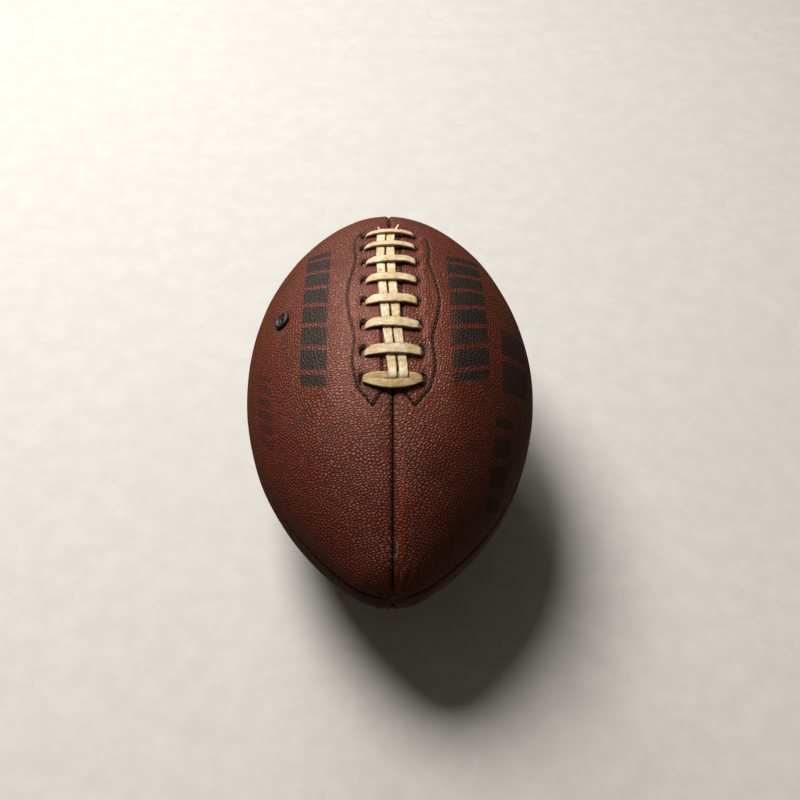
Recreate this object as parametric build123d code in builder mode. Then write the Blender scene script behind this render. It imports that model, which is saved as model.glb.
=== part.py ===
"""American football: a laced leather ball with an inflated bladder.

Millimetres, +Z up. The origin is the centre of the ball. The long axis is Y, and the laces are
on top (+Z). Most pieces are layers of one hollow form, so each is cut from a shell that lies
between two insets from the ball's outline.

"along" is the distance along the top seam from the middle of the ball, positive towards +Y.
"across" is the distance round the ball from the top seam, positive towards +X.
"""
from build123d import *
import os
from math import atan2, cos, degrees, radians, sin

# ---------------------------------------------------------------- driving dimensions
BALL_LENGTH = 285.0
BALL_RADIUS = 85.4            # girth of 536.6 mm
NOSE_RADIUS = 36.0            # rounding of the two pointed ends

LEATHER = 1.8
LINING = 0.8
FACING = 1.2
LACE_THICKNESS = 1.5
TONGUE = 1.0
BLADDER_WALL = 0.6
GLUE_LINE = 0.05              # between one layer and the next

SEAM_GAP = 0.1                # half of the gap between two panels
SEAM_CHAMFER = 0.9            # the rounded-down edges that make the seam groove
TURNED_EDGE = 1.8             # panel edges are folded inwards and sewn to each other
TURNED_EDGE_DEPTH = 5.0
SEAM_THREAD = 0.9
SEAM_THREAD_DEPTH = 3.4
SEAM_THREAD_ROOM = 0.1        # round the thread, in its channel
SEAM_STITCHED_TO = 136.0      # the seams are sewn up to this distance from the middle

LACE_ROWS = 8
LACE_PITCH = 16.7
LACE_MIDDLE_ALONG = 1.6       # the lacing sits a little beyond the middle of the ball
LACE_WIDTH = 6.2
LACE_REACH = 16.0             # from the seam to each lace hole
LACE_HOLE = (3.4, 7.2)        # across, along
STRIP_WIDTH = 5.0             # each of the two long strips under the cross bars
TAIL_WIDTH = 2.2              # the strips' cut ends
SLIT_ALONG = (-66.0, 66.0)    # the top seam is open between these
LACE_EXIT_ALONG = (-62.6, -56.8)   # where both lace ends come up through the slit
LACE_EXIT_HALF_WIDTH = 1.95
LACE_EXIT_ROOM = 0.2          # between the lace ends and each side of that gap

FACING_STITCH = 0.9           # width of the thread
FACING_STITCH_DEPTH = 0.5     # the thread is sunk flush with the leather
FACING_MARGIN = 2.5           # facing beyond its stitching
RIGHT_FACING_SCALE = 1.08     # the right facing is a little wider

TONGUE_HALF_WIDTH = 23.0
TONGUE_HALF_LENGTH = 76.0
TONGUE_CORNER = 12.0

VALVE_ALONG = 3.0
VALVE_ANGLE = -45.8           # degrees round from the top seam
VALVE_BUTTON_RADIUS = 5.0
VALVE_BUTTON_HEIGHT = 1.8
VALVE_BUTTON_EDGE = 0.5
VALVE_DISH_RADIUS = 3.2
VALVE_DISH_DEPTH = 0.6
VALVE_CORE_RADIUS = 3.0
VALVE_NECK_RADIUS = 4.6
VALVE_FLANGE_RADIUS = 12.5
VALVE_FLANGE = 1.2
VALVE_STEM_LENGTH = 9.0       # of the neck inside the bladder
VALVE_CLEAR = 0.2             # round the neck in the leather
NEEDLE_RADIUS = 0.95
NEEDLE_BORE_LENGTH = 14.4

# ---------------------------------------------------------------- the ball's outline
HALF_LENGTH = BALL_LENGTH / 2
NOSE_CENTRE = HALF_LENGTH - NOSE_RADIUS
BELLY_RADIUS = (HALF_LENGTH**2 + BALL_RADIUS**2 - 2 * HALF_LENGTH * NOSE_RADIUS) / (
    2 * (BALL_RADIUS - NOSE_RADIUS)
)
BELLY_CENTRE = BALL_RADIUS - BELLY_RADIUS
TANGENT_ANGLE = degrees(atan2(NOSE_CENTRE, -BELLY_CENTRE))
ROOM = 2 * BALL_LENGTH        # larger than the ball, for cutting
THROUGH_WALL = 20.0           # deeper than all the layers together

# ---------------------------------------------------------------- insets of the layers
LINING_OUT = LEATHER + GLUE_LINE
LINING_IN = LINING_OUT + LINING
FACING_OUT = LINING_IN + GLUE_LINE
FACING_IN = FACING_OUT + FACING
FIRST_RUN_IN = FACING_IN + GLUE_LINE + LACE_THICKNESS
SECOND_RUN_IN = FIRST_RUN_IN + LACE_THICKNESS
TONGUE_OUT = SECOND_RUN_IN + 2 * GLUE_LINE
TONGUE_IN = TONGUE_OUT + TONGUE
BLADDER_OUT = LINING_IN + GLUE_LINE
POCKET_DEPTH = TONGUE_IN + 2 * GLUE_LINE
TURNED_EDGE_INSIDE = SEAM_GAP + TURNED_EDGE

ROW_ALONG = [LACE_MIDDLE_ALONG + LACE_PITCH * ((LACE_ROWS - 1) / 2 - row) for row in range(LACE_ROWS)]
LAST_ROW = ROW_ALONG[-1]

UPWARDS = (Align.CENTER, Align.CENTER, Align.MIN)

os.makedirs("parts", exist_ok=True)


def save(piece, name):
    """Label a finished piece and write it to parts/."""
    piece.label = name
    export_step(piece, f"parts/{name}.step")


# ---------------------------------------------------------------- places on the ball
def meridian_point(along, height=0.0):
    """(y, z) on the top seam's meridian, at a height above the leather."""
    angle = along / BELLY_RADIUS
    reach = BELLY_RADIUS + height
    return (reach * sin(angle), BELLY_CENTRE + reach * cos(angle))


def plan_point(along, across):
    """(x, y) seen from above of a point on the leather."""
    y, radius = meridian_point(along)
    return (radius * sin(across / radius), y)


def surface_plane(along, turn):
    """Plane on the leather, facing outwards, a turn in radians round from the top seam."""
    y, radius = meridian_point(along)
    tilt = along / BELLY_RADIUS
    return Plane(
        origin=(radius * sin(turn), y, radius * cos(turn)),
        x_dir=(cos(turn), 0, -sin(turn)),
        z_dir=(sin(turn) * cos(tilt), sin(tilt), cos(turn) * cos(tilt)),
    )


# ---------------------------------------------------------------- layers and cutters
def ball_body(inset):
    """Everything inside the ball's outline, moved inwards by inset."""
    nose = NOSE_RADIUS - inset
    belly = BELLY_RADIUS - inset
    with BuildPart() as body:
        with BuildSketch(Plane.XY):
            with BuildLine():
                CenterArc((0, -NOSE_CENTRE), nose, -90, 90 - TANGENT_ANGLE)
                CenterArc((BELLY_CENTRE, 0), belly, -TANGENT_ANGLE, 2 * TANGENT_ANGLE)
                CenterArc((0, NOSE_CENTRE), nose, TANGENT_ANGLE, 90 - TANGENT_ANGLE)
                Line((0, NOSE_CENTRE + nose), (0, -NOSE_CENTRE - nose))
            make_face()
        revolve(axis=Axis.Y)
    return body.part


def shell(outer_inset, inner_inset):
    """The hollow layer of the ball between two insets."""
    return ball_body(outer_inset) - ball_body(inner_inset)


def quarter(side_x, side_z, clear):
    """A box over one quarter of the ball, kept clear of both seam planes."""
    align_x = Align.MIN if side_x > 0 else Align.MAX
    align_z = Align.MIN if side_z > 0 else Align.MAX
    box = Box(ROOM, ROOM, ROOM, align=(align_x, Align.CENTER, align_z))
    return Pos(side_x * clear, 0, side_z * clear) * box


def seam_slabs(half_width):
    """Two flat slabs on the seam planes."""
    return Box(2 * half_width, ROOM, ROOM) + Box(ROOM, ROOM, 2 * half_width)


def prism(face):
    """A plan face raised through the top half of the ball."""
    return extrude(face, amount=ROOM, dir=(0, 0, 1))


def plan_band(points, width):
    """A band of one width along a smooth plan line through (along, across) points."""
    with BuildSketch(Plane.XY) as plan:
        with BuildLine():
            Spline(*[plan_point(*point) for point in points])
        trace(line_width=width)
    return prism(plan.sketch)


def facing_plan(side, grow):
    """Plan outline of a facing, larger than its stitching line by grow."""
    scale = RIGHT_FACING_SCALE if side > 0 else 1.0
    wave = (
        (61, 20.4), (46, 21.3), (31, 20.4), (15, 23.3), (-1, 25.1),
        (-16, 23.2), (-30, 20.5), (-46, 21.7), (-60, 18.6),
    )
    tip_across = 10.8 * scale
    inner_across = 5.5 - 0.8 * grow
    edge = [plan_point(along, side * (scale * across + grow)) for along, across in wave]
    near_tip = plan_point(-71 - 1.2 * grow, side * tip_across)
    near_inner = plan_point(-63, side * inner_across)
    far_inner = plan_point(69, side * inner_across)
    far_tip = plan_point(77 + 1.2 * grow, side * tip_across)
    with BuildSketch(Plane.XY) as plan:
        with BuildLine():
            Spline(*edge)
            Polyline(edge[-1], near_tip, near_inner, far_inner, far_tip, edge[0])
        make_face()
    return plan.sketch


def stitch_band(side, width):
    """The closed line of a facing's stitching, as a thin upright wall."""
    return prism(facing_plan(side, width / 2)) - prism(facing_plan(side, -width / 2))


def lace_holes(side):
    """Cutters for the eight lace holes on one side."""
    with BuildPart() as cutters:
        for along in ROW_ALONG:
            turn = side * LACE_REACH / meridian_point(along)[1]
            with BuildSketch(surface_plane(along, turn)):
                Rectangle(*LACE_HOLE)
                fillet(vertices(), radius=0.45 * LACE_HOLE[0])
            extrude(amount=THROUGH_WALL, both=True)
    return cutters.part


EXIT_LOW, EXIT_HIGH = (meridian_point(along)[0] for along in LACE_EXIT_ALONG)


def exit_box(half_width, room):
    """An upright box at the place where both lace ends come up, smaller by room on two sides."""
    box = Box(2 * half_width, EXIT_HIGH - EXIT_LOW - 2 * room, ROOM, align=UPWARDS)
    return Pos(0, (EXIT_LOW + EXIT_HIGH) / 2, 0) * box


VALVE_PLANE = surface_plane(VALVE_ALONG, radians(VALVE_ANGLE))


def valve_rod(radius):
    """A rod along the valve's axis, right through the wall."""
    with BuildPart() as rod:
        with BuildSketch(VALVE_PLANE):
            Circle(radius)
        extrude(amount=THROUGH_WALL, both=True)
    return rod.part


# ---------------------------------------------------------------- leather panels
outer_body = ball_body(0)
leather_inside = ball_body(LEATHER)
below_turned_edge = ball_body(TURNED_EDGE_DEPTH)
channel_half = SEAM_THREAD / 2 + SEAM_THREAD_ROOM
thread_channel = shell(SEAM_THREAD_DEPTH - channel_half, SEAM_THREAD_DEPTH + channel_half) & seam_slabs(
    channel_half
)
stitch_groove_layer = shell(-1, FACING_STITCH_DEPTH + GLUE_LINE)
QUARTERS = {
    "left_lace": (-1, 1),
    "right_lace": (1, 1),
    "left_base": (-1, -1),
    "right_base": (1, -1),
}


def on_outer_rim(edge):
    """Whether an edge of a plain quarter lies along a seam."""
    middle = edge.position_at(0.5)
    return min(abs(middle.X), abs(middle.Z)) < 2 * SEAM_GAP


for name, (side_x, side_z) in QUARTERS.items():
    plain_quarter = quarter(side_x, side_z, SEAM_GAP)
    hollow = (leather_inside & quarter(side_x, side_z, TURNED_EDGE_INSIDE)) + below_turned_edge
    cutters = [hollow, thread_channel]
    if side_z > 0:
        stitch_groove = stitch_groove_layer & stitch_band(side_x, FACING_STITCH + 2 * GLUE_LINE)
        cutters += [lace_holes(side_x), exit_box(LACE_EXIT_HALF_WIDTH, 0), stitch_groove]
    if name == "left_lace":
        cutters.append(valve_rod(VALVE_NECK_RADIUS + VALVE_CLEAR))

    with BuildPart() as panel:
        add(outer_body)
        add(plain_quarter, mode=Mode.INTERSECT)
        chamfer(panel.edges().filter_by(on_outer_rim), SEAM_CHAMFER)
        for cutter in cutters:
            add(cutter, mode=Mode.SUBTRACT)
    save(panel.part, f"{name}_panel")

# ---------------------------------------------------------------- fabric linings
lining_layer = shell(LINING_OUT, LINING_IN)

for name, (side_x, side_z) in QUARTERS.items():
    inside_turned_edges = quarter(side_x, side_z, TURNED_EDGE_INSIDE + GLUE_LINE)
    cutters = [lace_holes(side_x), exit_box(LACE_EXIT_HALF_WIDTH, 0)] if side_z > 0 else []
    if name == "left_lace":
        cutters.append(valve_rod(VALVE_FLANGE_RADIUS + VALVE_CLEAR))

    with BuildPart() as lining:
        add(lining_layer)
        add(inside_turned_edges, mode=Mode.INTERSECT)
        for cutter in cutters:
            add(cutter, mode=Mode.SUBTRACT)
    save(lining.part, f"{name}_lining")

# ---------------------------------------------------------------- lace facings and their stitching
facing_layer = shell(FACING_OUT, FACING_IN)
stitch_layer = shell(GLUE_LINE, FACING_STITCH_DEPTH)

for name, side in (("left", -1), ("right", 1)):
    outline = prism(facing_plan(side, FACING_MARGIN))
    holes = lace_holes(side)
    with BuildPart() as facing:
        add(facing_layer)
        add(outline, mode=Mode.INTERSECT)
        add(holes, mode=Mode.SUBTRACT)
    save(facing.part, f"{name}_lace_facing")

    thread_wall = stitch_band(side, FACING_STITCH)
    with BuildPart() as facing_stitching:
        add(stitch_layer)
        add(thread_wall, mode=Mode.INTERSECT)
    save(facing_stitching.part, f"{name}_facing_stitching")

# ---------------------------------------------------------------- seam threads
thread_layer = shell(SEAM_THREAD_DEPTH - SEAM_THREAD / 2, SEAM_THREAD_DEPTH + SEAM_THREAD / 2)
slit_near, slit_far = (meridian_point(along)[0] for along in SLIT_ALONG)
TOP_RUNS = ((-SEAM_STITCHED_TO, slit_near), (slit_far, SEAM_STITCHED_TO))
WHOLE_RUN = ((-SEAM_STITCHED_TO, SEAM_STITCHED_TO),)
SEAMS = {
    "top": (0, 1, TOP_RUNS),
    "left": (-1, 0, WHOLE_RUN),
    "right": (1, 0, WHOLE_RUN),
    "bottom": (0, -1, WHOLE_RUN),
}

for name, (side_x, side_z, runs) in SEAMS.items():
    width_x = ROOM if side_x else SEAM_THREAD
    width_z = ROOM if side_z else SEAM_THREAD
    with BuildPart() as sewn_slab:
        for start, end in runs:
            with Locations((side_x * width_x / 2, (start + end) / 2, side_z * width_z / 2)):
                Box(width_x, end - start, width_z)
    with BuildPart() as seam_thread:
        add(thread_layer)
        add(sewn_slab.part, mode=Mode.INTERSECT)
    save(seam_thread.part, f"{name}_seam_thread")

# ---------------------------------------------------------------- lace
# One flat lace. Its middle is the far cross bar. From there each half runs under the leather from
# hole to hole and makes every other cross bar. Both halves make the last row, go under it, come up
# through the slit between its two strands, and run back on top under the other bars to the far end.
BAR_DEPTHS = (
    SECOND_RUN_IN, FIRST_RUN_IN, SECOND_RUN_IN, FIRST_RUN_IN,
    SECOND_RUN_IN, FIRST_RUN_IN, SECOND_RUN_IN,
)
INNER_RUNS = (
    # side, from row, to row, depth
    (-1, 0, 1, FIRST_RUN_IN),
    (-1, 2, 4, SECOND_RUN_IN),
    (-1, 3, 5, FIRST_RUN_IN),
    (-1, 6, 7, SECOND_RUN_IN),
    (1, 0, 2, SECOND_RUN_IN),
    (1, 1, 3, FIRST_RUN_IN),
    (1, 4, 6, SECOND_RUN_IN),
    (1, 5, 7, FIRST_RUN_IN),
)
DEEPER_RUN_WIDTH = LACE_WIDTH - 0.4       # squeezed a little narrower
PRESSED_IN = 0.1                          # runs that cross are pressed into each other
BAR_RISE = 0.1                            # underside of a cross bar at its holes
BAR_EDGE = 0.5                            # height of its outer corner, where it folds down
OVER_STRIPS = LACE_THICKNESS + 0.1
STRIP_LINE = ((64, -2.1), (37, -3.0), (4, -2.1), (-31, 0.5), (-52, 2.8))
TAIL_LINES = (
    ((62, -4.7), (69, -7.0), (78, -9.2)),
    ((62, 0.5), (68.5, 4.6), (80, 6.0)),
)
# side view of the strips where they climb over the last row's first strand and dive past it
CLIMB = (
    (-46, 0.05), (-46, 1.55), (-52.5, 3.15), (-58.0, 3.15), (-59.0, 2.3),
    (-59.0, 0.05), (-57.3, 0.05), (-57.3, 1.6), (-53.0, 1.6), (-48.5, 0.05),
)


def cross_bar(along, width, depth, underside):
    """A bar over the ball from hole to hole, with a leg down through each hole."""
    y, radius = meridian_point(along)
    tilt = along / BELLY_RADIUS
    section = radius / cos(tilt)          # radius of the ball's section across the seam
    inner = (LACE_REACH - LACE_THICKNESS / 2) / section
    outer = (LACE_REACH + LACE_THICKNESS / 2) / section
    top = underside + LACE_THICKNESS
    across_plane = Plane(origin=(0, y, radius), x_dir=(1, 0, 0), z_dir=(0, -cos(tilt), sin(tilt)))

    def point(turn, height):
        return ((section + height) * sin(turn), (section + height) * cos(turn) - section)

    with BuildPart() as bar:
        with BuildSketch(across_plane):
            with BuildLine():
                ThreePointArc(point(-outer, BAR_EDGE), point(0, top), point(outer, BAR_EDGE))
                ThreePointArc(point(inner, BAR_RISE), point(0, underside), point(-inner, BAR_RISE))
                for side in (-1, 1):
                    Polyline(
                        point(side * outer, BAR_EDGE),
                        point(side * outer, -depth),
                        point(side * inner, -depth),
                        point(side * inner, BAR_RISE),
                    )
            make_face()
        extrude(amount=width / 2, both=True)
    return bar.part


def lens_strand(far_edge, near_edge, depth, underside):
    """One of the two bowed strands of the last row.

    Each edge is a pair of distances from the row: at its holes, and in the middle.
    """
    wide_bar = cross_bar(LAST_ROW, 4 * LACE_WIDTH, depth, underside)
    reach = LACE_REACH + 1
    with BuildPart() as strand_prism:
        with BuildSketch(surface_plane(LAST_ROW, 0)):
            with BuildLine():
                ThreePointArc((-reach, far_edge[0]), (0, far_edge[1]), (reach, far_edge[0]))
                Line((reach, far_edge[0]), (reach, near_edge[0]))
                ThreePointArc((reach, near_edge[0]), (0, near_edge[1]), (-reach, near_edge[0]))
                Line((-reach, near_edge[0]), (-reach, far_edge[0]))
            make_face()
        extrude(amount=THROUGH_WALL, both=True)
    return wide_bar & strand_prism.part


def inner_run(side, first_row, last_row, depth):
    """A lace run under the leather from one hole to another on the same side.

    The first runs lie just inside the facing, and the deeper ones are pressed into them from below.
    """
    start, end = (meridian_point(ROW_ALONG[row])[0] for row in (first_row, last_row))
    deeper = depth == SECOND_RUN_IN
    width = DEEPER_RUN_WIDTH if deeper else LACE_WIDTH
    top = depth - LACE_THICKNESS - (PRESSED_IN if deeper else 0)
    box = Box(width, start - end + LACE_THICKNESS, ROOM, align=UPWARDS)
    return shell(top, depth) & Pos(side * LACE_REACH, (start + end) / 2, 0) * box


lace_pieces = [
    cross_bar(along, LACE_WIDTH, depth, OVER_STRIPS) for along, depth in zip(ROW_ALONG, BAR_DEPTHS)
]
lace_pieces.append(lens_strand((3.1, 3.0), (-3.1, -0.4), FIRST_RUN_IN, BAR_RISE))
lace_pieces.append(lens_strand((2.6, -2.7), (-2.6, -5.8), SECOND_RUN_IN, 0.9))
lace_pieces += [inner_run(*run) for run in INNER_RUNS]

strip_layer = shell(-GLUE_LINE - LACE_THICKNESS, -GLUE_LINE)
for side in (-1, 1):
    strip_line = [(along, across + side * STRIP_WIDTH / 2) for along, across in STRIP_LINE]
    lace_pieces.append(strip_layer & plan_band(strip_line, STRIP_WIDTH))
for tail_line in TAIL_LINES:
    lace_pieces.append(strip_layer & plan_band(tail_line, TAIL_WIDTH))

with BuildPart() as climbing_strips:
    with BuildSketch(Plane.YZ.offset(STRIP_LINE[-1][1] - STRIP_WIDTH)):
        with BuildLine():
            Polyline(*[meridian_point(*point) for point in CLIMB], close=True)
        make_face()
    extrude(amount=2 * STRIP_WIDTH)
lace_pieces.append(climbing_strips.part)

# under the last row both halves run in from their holes and come up through the slit
run_in_layer = shell(FIRST_RUN_IN - LACE_THICKNESS + PRESSED_IN, FIRST_RUN_IN - PRESSED_IN)
lace_pieces.append(run_in_layer & exit_box(LACE_REACH, LACE_EXIT_ROOM))
come_up_layer = shell(-0.6, FIRST_RUN_IN - 3 * PRESSED_IN)
lace_pieces.append(come_up_layer & exit_box(LACE_EXIT_HALF_WIDTH - LACE_EXIT_ROOM, 2 * LACE_EXIT_ROOM))

with BuildPart() as lace:
    for piece in lace_pieces:
        add(piece)
save(lace.part, "lace")

# ---------------------------------------------------------------- tongue under the laces
tongue_layer = shell(TONGUE_OUT, TONGUE_IN)
with BuildPart() as lace_tongue:
    add(tongue_layer)
    with BuildSketch(Plane.XY):
        RectangleRounded(2 * TONGUE_HALF_WIDTH, 2 * TONGUE_HALF_LENGTH, TONGUE_CORNER)
    extrude(amount=ROOM, mode=Mode.INTERSECT)
save(lace_tongue.part, "lace_tongue")

# ---------------------------------------------------------------- bladder
POCKET_MARGIN = 8.0           # of the pocket round the tongue


def bladder_form(grow):
    """The bladder's outside, or its hollow: moved in by grow, with a pocket under the laces and a
    groove along each seam that grow by the same amount."""
    half_width = TONGUE_HALF_WIDTH + POCKET_MARGIN + grow
    half_length = TONGUE_HALF_LENGTH + POCKET_MARGIN + grow
    with BuildSketch(Plane.XY) as pocket_plan:
        RectangleRounded(2 * half_width, 2 * half_length, TONGUE_CORNER)
    pocket = prism(pocket_plan.sketch) & shell(0, POCKET_DEPTH + grow)
    groove_slabs = seam_slabs(TURNED_EDGE_INSIDE + GLUE_LINE + grow)
    grooves = groove_slabs & shell(0, TURNED_EDGE_DEPTH + GLUE_LINE + grow)
    return ball_body(BLADDER_OUT + grow) - pocket - grooves


bladder_outside = bladder_form(0)
bladder_hollow = bladder_form(BLADDER_WALL)
neck_hole = valve_rod(VALVE_NECK_RADIUS + GLUE_LINE)
with BuildPart() as bladder:
    add(bladder_outside)
    add(bladder_hollow, mode=Mode.SUBTRACT)
    add(neck_hole, mode=Mode.SUBTRACT)
save(bladder.part, "bladder")

# ---------------------------------------------------------------- valve
patch_ring = valve_rod(VALVE_FLANGE_RADIUS) - neck_hole
with BuildPart() as valve_patch:
    add(lining_layer)
    add(patch_ring, mode=Mode.INTERSECT)
save(valve_patch.part, "valve_patch")

FLANGE_TOP = -4.4             # flat flange, just inside the curved bladder wall
STEM_BOTTOM = FLANGE_TOP - VALVE_STEM_LENGTH
with BuildPart() as valve_housing:
    with BuildSketch(VALVE_PLANE.offset(FLANGE_TOP - VALVE_FLANGE)):
        Circle(VALVE_FLANGE_RADIUS)
    extrude(amount=VALVE_FLANGE)
    with BuildSketch(VALVE_PLANE.offset(STEM_BOTTOM)):
        Circle(VALVE_NECK_RADIUS)
    extrude(amount=-STEM_BOTTOM - GLUE_LINE)
    with BuildSketch(VALVE_PLANE):
        Circle(VALVE_CORE_RADIUS + GLUE_LINE)
    extrude(amount=THROUGH_WALL, both=True, mode=Mode.SUBTRACT)
save(valve_housing.part, "valve_housing")

BORE_TOP = VALVE_BUTTON_HEIGHT - VALVE_DISH_DEPTH
with BuildPart() as valve_core:
    with BuildSketch(VALVE_PLANE.offset(BORE_TOP - NEEDLE_BORE_LENGTH)):
        Circle(VALVE_CORE_RADIUS)
    extrude(amount=NEEDLE_BORE_LENGTH)
    with BuildSketch(VALVE_PLANE):
        Circle(VALVE_BUTTON_RADIUS)
    extrude(amount=VALVE_BUTTON_HEIGHT)
    rims = valve_core.edges().filter_by(GeomType.CIRCLE)
    outermost = rims.sort_by(lambda edge: edge.arc_center.length)[-1]
    fillet(outermost, VALVE_BUTTON_EDGE)
    with BuildSketch(VALVE_PLANE.offset(BORE_TOP)):
        Circle(VALVE_DISH_RADIUS)
    extrude(amount=THROUGH_WALL, mode=Mode.SUBTRACT)
    with BuildSketch(VALVE_PLANE):
        Circle(NEEDLE_RADIUS)
    extrude(amount=THROUGH_WALL, both=True, mode=Mode.SUBTRACT)
save(valve_core.part, "valve_core")
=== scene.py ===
"""Looks of the laced leather football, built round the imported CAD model.

Shapes are worked out in millimetres and turned into metres when a mesh is made. The origin is the
centre of the ball, the long axis is Y and the laces are on top (+Z).

"along" is the distance along the top seam from the middle of the ball, positive towards +Y.
"across" is the distance round the ball from the top seam, positive towards +X.
"height" is the distance out from the ball's plain outline.
"""

from math import atan2, cos, pi, radians, sin

import bmesh
import bpy
import numpy as np
from mathutils import Matrix, Vector


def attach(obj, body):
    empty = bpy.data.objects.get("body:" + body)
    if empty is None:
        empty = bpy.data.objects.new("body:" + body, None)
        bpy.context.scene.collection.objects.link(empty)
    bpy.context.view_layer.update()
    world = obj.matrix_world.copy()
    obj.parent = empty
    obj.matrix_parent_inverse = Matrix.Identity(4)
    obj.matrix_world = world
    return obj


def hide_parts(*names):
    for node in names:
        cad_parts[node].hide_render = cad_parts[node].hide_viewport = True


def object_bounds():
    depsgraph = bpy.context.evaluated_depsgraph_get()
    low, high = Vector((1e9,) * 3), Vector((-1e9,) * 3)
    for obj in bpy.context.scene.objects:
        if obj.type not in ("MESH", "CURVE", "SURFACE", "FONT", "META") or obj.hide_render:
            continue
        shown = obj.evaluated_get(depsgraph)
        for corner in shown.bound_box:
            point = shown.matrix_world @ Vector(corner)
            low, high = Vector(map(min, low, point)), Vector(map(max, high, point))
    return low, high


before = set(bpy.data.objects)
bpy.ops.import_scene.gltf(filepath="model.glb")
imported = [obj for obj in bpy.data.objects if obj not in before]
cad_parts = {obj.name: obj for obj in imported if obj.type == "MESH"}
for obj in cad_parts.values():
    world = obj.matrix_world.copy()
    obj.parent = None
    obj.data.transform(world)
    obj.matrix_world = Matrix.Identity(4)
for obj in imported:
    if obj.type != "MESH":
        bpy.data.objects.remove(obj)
CAD_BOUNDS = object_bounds()

# -------------------------------- driving dimensions (mm)
MM = 0.001
HALF_LENGTH = (CAD_BOUNDS[1].y - CAD_BOUNDS[0].y) / 2 / MM
BALL_RADIUS = 85.4
NOSE_RADIUS = 36.0
NOSE_CENTRE = HALF_LENGTH - NOSE_RADIUS
BELLY_RADIUS = (HALF_LENGTH**2 + BALL_RADIUS**2 - 2 * HALF_LENGTH * NOSE_RADIUS) / (
    2 * (BALL_RADIUS - NOSE_RADIUS)
)
BELLY_CENTRE = BALL_RADIUS - BELLY_RADIUS
TANGENT_ANGLE = atan2(NOSE_CENTRE, -BELLY_CENTRE)
BELLY_ALONG = BELLY_RADIUS * TANGENT_ANGLE
END_ALONG = BELLY_ALONG + NOSE_RADIUS * (pi / 2 - TANGENT_ANGLE)
QUARTER_WIDTH = BALL_RADIUS * pi / 2

LEATHER = 1.8
TURNED_EDGE = 1.8
TURNED_EDGE_DEPTH = 5.0
SEAM_GAP = 0.08               # half of the gap between two panels
SEAM_ROUND = 1.7              # rounding of a panel's edge where it folds inwards
STITCH_PITCH = 3.1            # of the hidden seam stitches, which pucker the leather

LACE_ROWS = 8
LACE_PITCH = 16.7
LACE_MIDDLE_ALONG = 1.6
LACE_REACH = 16.0             # to the middles of the holes in the layers under the leather
LACE_THICKNESS = 1.5
LEFT_REACH = (14.0, 14.6, 13.6, 13.7, 13.9, 14.1, 14.4, 15.0)     # of each row of the lace
RIGHT_REACH = (12.9, 13.0, 13.1, 13.0, 13.0, 13.8, 14.7, 15.3)
RUBBED_ROWS = (0.45, 1.2, 1.2, 0.5, 1.2, 0.5, 0.35, 0.1)   # how red the leather is beside each row
HOLE_HALF = (2.1, 3.8)        # across, along
HOLE_OUTSIDE = 1.3            # from a bar's end to the middle of its hole
HOLE_SHIFT = 0.9              # the holes are pulled a little beyond their bars
ROW_ALONG = [LACE_MIDDLE_ALONG + LACE_PITCH * ((LACE_ROWS - 1) / 2 - row) for row in range(LACE_ROWS)]
LAST_ROW = ROW_ALONG[-1]

VALVE_ALONG = 3.0
VALVE_ANGLE = radians(-45.8)

RNG = np.random.default_rng(11)


# -------------------------------- places on the ball
def meridian(along, height=0.0):
    """(y, radius, tilt) of points on the ball's outline, moved out by height."""
    along = np.asarray(along, dtype=float)
    size = np.abs(along)
    on_belly = size <= BELLY_ALONG
    tilt = np.where(on_belly, size / BELLY_RADIUS, TANGENT_ANGLE + (size - BELLY_ALONG) / NOSE_RADIUS)
    curve = np.where(on_belly, BELLY_RADIUS, NOSE_RADIUS) + height
    y = np.where(on_belly, 0.0, NOSE_CENTRE) + curve * np.sin(tilt)
    radius = np.where(on_belly, BELLY_CENTRE, 0.0) + curve * np.cos(tilt)
    return np.sign(along) * y, radius, np.sign(along) * tilt


def ball_points(along, turn, height=0.0):
    """XYZ of points at a turn in radians round from the top seam."""
    y, radius, _ = meridian(along, height)
    return np.stack([radius * np.sin(turn), y, radius * np.cos(turn)], axis=-1)


def turn_of(along, across):
    """The turn round from the top seam of a point given by its distance across."""
    return np.asarray(across) / meridian(along)[1]


def directions(along, turn):
    """Unit vectors along, across and out of the ball."""
    tilt = meridian(along)[2]
    zero = np.zeros_like(tilt * turn)
    s_tilt, c_tilt, s_turn, c_turn = np.sin(tilt), np.cos(tilt), np.sin(turn), np.cos(turn)
    lengthwise = np.stack([-s_tilt * s_turn, c_tilt + zero, -s_tilt * c_turn], axis=-1)
    sideways = np.stack([c_turn + zero, zero, -s_turn + zero], axis=-1)
    outwards = np.stack([c_tilt * s_turn, s_tilt + zero, c_tilt * c_turn], axis=-1)
    return lengthwise, sideways, outwards


def ball_line(along, across, height):
    """XYZ of a line of points, and the unit vectors along, across and out of the ball at each."""
    turn = turn_of(along, across)
    return ball_points(along, turn, height), *directions(along, turn)


# -------------------------------- small numeric tools
def smooth_line(points, count):
    """A smooth line through points, with count evenly parametrised samples."""
    points = np.asarray(points, dtype=float)
    padded = np.vstack([2 * points[0] - points[1], points, 2 * points[-1] - points[-2]])
    place = np.linspace(0, len(points) - 1, count)
    start = np.minimum(place.astype(int), len(points) - 2)
    t = (place - start)[:, None]
    before, first, second, after = (padded[start + step] for step in range(4))
    return 0.5 * (
        2 * first
        + (second - before) * t
        + (2 * before - 5 * first + 4 * second - after) * t**2
        + (3 * first - before - 3 * second + after) * t**3
    )


def even_steps(line, step):
    """Points spaced evenly along a line of points."""
    lengths = np.linalg.norm(np.diff(line, axis=0), axis=1)
    run = np.concatenate([[0], np.cumsum(lengths)])
    count = max(2, int(round(run[-1] / step)) + 1)
    wanted = np.linspace(0, run[-1], count)
    return np.stack([np.interp(wanted, run, line[:, k]) for k in range(line.shape[1])], axis=-1)


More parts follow.
